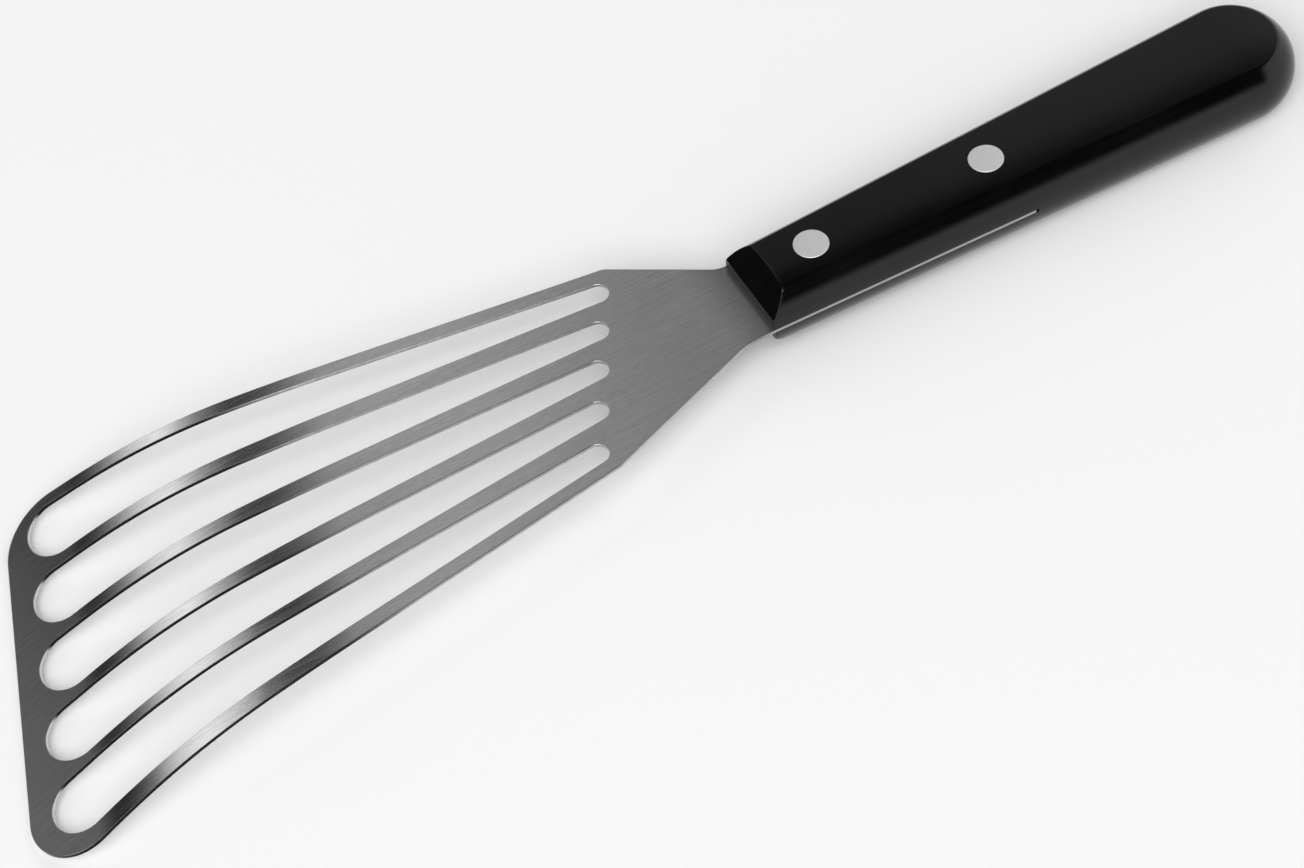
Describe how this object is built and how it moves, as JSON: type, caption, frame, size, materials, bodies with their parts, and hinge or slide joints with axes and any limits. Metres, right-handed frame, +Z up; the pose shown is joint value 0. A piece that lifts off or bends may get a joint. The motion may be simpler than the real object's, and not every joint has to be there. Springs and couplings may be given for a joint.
{
  "type": "fish spatula",
  "caption": "Slotted fish spatula with a slanted, gently bent steel blade of tapered tines and a riveted black handle with rounded sides.",
  "frame": {"origin": "on the ground under the middle of the whole tool's box, with the tool lying at rest on its tip edge and on the butt of the handle", "axes": "+Z up, +X towards the butt of the handle, -X towards the tip, the longer side of the blade towards -Y"},
  "size_m": [0.2854, 0.0772, 0.0172],
  "materials": {
    "brushed_blade": "brushed along the blade",
    "black_handle": "smooth with a slight sheen",
    "satin_rivet": "satin"
  },
  "bodies": {
    "root": {"blade": "brushed_blade", "handle": "black_handle", "front_rivet_tube": "satin_rivet", "front_rivet_pin": "satin_rivet", "rear_rivet_tube": "satin_rivet", "rear_rivet_pin": "satin_rivet"}
  },
  "joints": []
}
